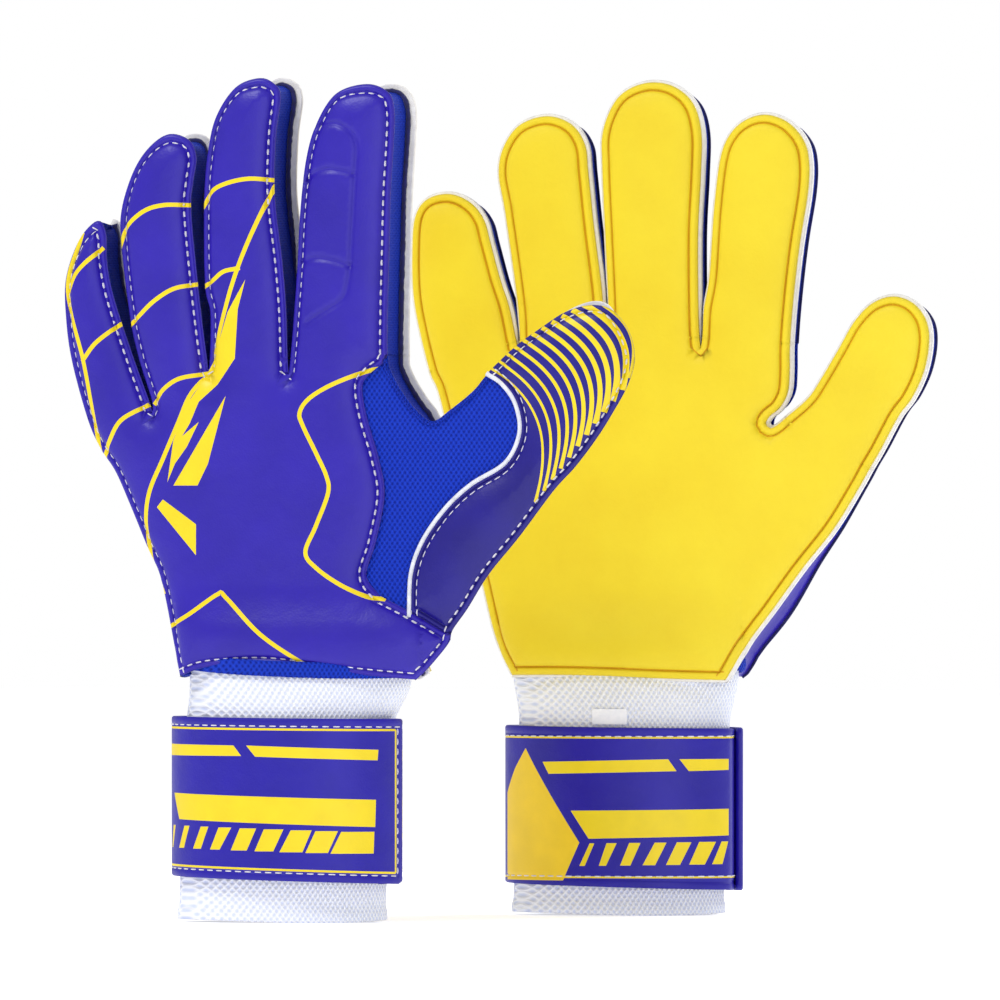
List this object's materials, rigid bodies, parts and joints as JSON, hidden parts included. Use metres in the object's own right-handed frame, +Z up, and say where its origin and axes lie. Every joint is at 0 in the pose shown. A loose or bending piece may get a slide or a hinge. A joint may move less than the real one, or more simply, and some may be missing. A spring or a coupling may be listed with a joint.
{
  "type": "pair of goalkeeper gloves",
  "caption": "Padded football goalkeeper gloves with latex palms, stitched synthetic backs, mesh gussets, an elastic cuff and a wide wrist strap, standing on their cuffs.",
  "frame": {"origin": "On the floor, under the middle of the box round both gloves, which stand on their cuffs.", "axes": "+Z runs up along the fingers; +X runs across the palms towards both thumbs; +Y runs from the front (left-hand) glove to the rear (right-hand) glove. The left-hand glove turns its back to -Y and the right-hand glove turns its palm to -Y."},
  "size_m": [0.2546, 0.189, 0.2727],
  "materials": {
    "palm_latex": "matt yellow latex foam with fine pores and a stitched groove along the edge",
    "gusset_mesh": "royal blue stretch mesh on the finger side walls",
    "back_shell": "violet-blue synthetic leather over foam, fine grain, printed thin yellow lines",
    "dark_shell": "darker violet-blue synthetic leather, fine grain",
    "air_mesh": "royal blue air mesh with diamond holes",
    "cuff_elastic": "white knitted elastic with a fine honeycomb",
    "strap_shell": "dark violet-blue synthetic leather, stitched along its edges, with plain yellow bars printed on it",
    "loop_pile": "short dark blue loop pile",
    "hook_tape": "dark blue hook tape",
    "label_tape": "blank white woven label"
  },
  "bodies": {
    "right_cuff": {"right_cuff_sleeve": "cuff_elastic", "right_strap_wrap": "strap_shell", "right_loop_patch": "loop_pile", "right_size_label": "label_tape"},
    "right_hand": {"right_palm_panel": "palm_latex", "right_back_panel": "back_shell", "right_mesh_panel": "air_mesh", "right_thumb_base_panel": "dark_shell", "right_hem_band": "dark_shell", "right_ulnar_gusset": "gusset_mesh", "right_web_gusset": "gusset_mesh", "right_radial_gusset": "gusset_mesh"},
    "right_pinky": {"right_pinky_palm": "palm_latex", "right_pinky_gusset": "gusset_mesh", "right_pinky_back": "back_shell"},
    "right_ring": {"right_ring_palm": "palm_latex", "right_ring_gusset": "gusset_mesh", "right_ring_back": "back_shell"},
    "right_middle": {"right_middle_palm": "palm_latex", "right_middle_gusset": "gusset_mesh", "right_middle_back": "back_shell"},
    "right_index": {"right_index_palm": "palm_latex", "right_index_gusset": "gusset_mesh", "right_index_back": "back_shell"},
    "right_thumb": {"right_thumb_palm": "palm_latex", "right_thumb_gusset": "gusset_mesh", "right_thumb_back": "back_shell"},
    "right_strap": {"right_strap_flap": "strap_shell", "right_hook_patch": "hook_tape"},
    "left_cuff": {"left_cuff_sleeve": "cuff_elastic", "left_strap_wrap": "strap_shell", "left_loop_patch": "loop_pile"},
    "left_hand": {"left_palm_panel": "palm_latex", "left_back_panel": "back_shell", "left_mesh_panel": "air_mesh", "left_thumb_base_panel": "dark_shell", "left_hem_band": "dark_shell", "left_ulnar_gusset": "gusset_mesh", "left_web_gusset": "gusset_mesh", "left_radial_gusset": "gusset_mesh"},
    "left_pinky": {"left_pinky_palm": "palm_latex", "left_pinky_gusset": "gusset_mesh", "left_pinky_back": "back_shell"},
    "left_ring": {"left_ring_palm": "palm_latex", "left_ring_gusset": "gusset_mesh", "left_ring_back": "back_shell"},
    "left_middle": {"left_middle_palm": "palm_latex", "left_middle_gusset": "gusset_mesh", "left_middle_back": "back_shell"},
    "left_index": {"left_index_palm": "palm_latex", "left_index_gusset": "gusset_mesh", "left_index_back": "back_shell"},
    "left_thumb": {"left_thumb_palm": "palm_latex", "left_thumb_gusset": "gusset_mesh", "left_thumb_back": "back_shell"},
    "left_strap": {"left_strap_flap": "strap_shell", "left_hook_patch": "hook_tape"}
  },
  "joints": [
    {"name": "right_wrist_bend", "type": "hinge", "parent": "right_cuff", "child": "right_hand", "pos_m": [0.0204, 0.07, 0.072], "axis": [1, 0, 0], "range_deg": [-25, 25], "stiffness_Nm_per_rad": 2.5},
    {"name": "right_pinky_curl", "type": "hinge", "parent": "right_hand", "child": "right_pinky", "pos_m": [-0.0259, 0.058, 0.1814], "axis": [0.9848, 0, 0.1736], "range_deg": [-5, 80], "stiffness_Nm_per_rad": 0.15},
    {"name": "right_ring_curl", "type": "hinge", "parent": "right_hand", "child": "right_ring", "pos_m": [0.005, 0.058, 0.1862], "axis": [0.9925, 0, 0.1219], "range_deg": [-5, 80], "stiffness_Nm_per_rad": 0.15},
    {"name": "right_middle_curl", "type": "hinge", "parent": "right_hand", "child": "right_middle", "pos_m": [0.0352, 0.058, 0.1867], "axis": [1, 0, 0], "range_deg": [-5, 80], "stiffness_Nm_per_rad": 0.15},
    {"name": "right_index_curl", "type": "hinge", "parent": "right_hand", "child": "right_index", "pos_m": [0.066, 0.058, 0.184], "axis": [0.9954, 0, -0.0958], "range_deg": [-5, 80], "stiffness_Nm_per_rad": 0.15},
    {"name": "right_thumb_curl", "type": "hinge", "parent": "right_hand", "child": "right_thumb", "pos_m": [0.093, 0.058, 0.1539], "axis": [0.8625, 0, -0.506], "range_deg": [-5, 60], "stiffness_Nm_per_rad": 0.15},
    {"name": "right_strap_open", "type": "hinge", "parent": "right_cuff", "child": "right_strap", "pos_m": [-0.0176, 0.07, 0.0345], "axis": [0, 0, 1], "range_deg": [0, 150]},
    {"name": "left_glove_lift", "type": "slide", "parent": "right_cuff", "child": "left_cuff", "axis": [0, 0, 1], "range_m": [0, 0.3]},
    {"name": "left_wrist_bend", "type": "hinge", "parent": "left_cuff", "child": "left_hand", "pos_m": [-0.0536, -0.07, 0.072], "axis": [1, 0, 0], "range_deg": [-25, 25], "stiffness_Nm_per_rad": 2.5},
    {"name": "left_pinky_curl", "type": "hinge", "parent": "left_hand", "child": "left_pinky", "pos_m": [-0.1091, -0.058, 0.165], "axis": [0.9781, 0, 0.2079], "range_deg": [-80, 5], "stiffness_Nm_per_rad": 0.15},
    {"name": "left_ring_curl", "type": "hinge", "parent": "left_hand", "child": "left_ring", "pos_m": [-0.0899, -0.058, 0.173], "axis": [0.9936, 0, 0.1132], "range_deg": [-80, 5], "stiffness_Nm_per_rad": 0.15},
    {"name": "left_middle_curl", "type": "hinge", "parent": "left_hand", "child": "left_middle", "pos_m": [-0.0667, -0.058, 0.1776], "axis": [0.9997, 0, 0.0262], "range_deg": [-80, 5], "stiffness_Nm_per_rad": 0.15},
    {"name": "left_index_curl", "type": "hinge", "parent": "left_hand", "child": "left_index", "pos_m": [-0.0371, -0.058, 0.1796], "axis": [0.9988, 0, -0.0489], "range_deg": [-80, 5], "stiffness_Nm_per_rad": 0.15},
    {"name": "left_thumb_curl", "type": "hinge", "parent": "left_hand", "child": "left_thumb", "pos_m": [0.0219, -0.058, 0.1604], "axis": [0.6691, 0, -0.7431], "range_deg": [-60, 5], "stiffness_Nm_per_rad": 0.15},
    {"name": "left_strap_open", "type": "hinge", "parent": "left_cuff", "child": "left_strap", "pos_m": [-0.0916, -0.07, 0.039], "axis": [0, 0, -1], "range_deg": [0, 150]}
  ]
}
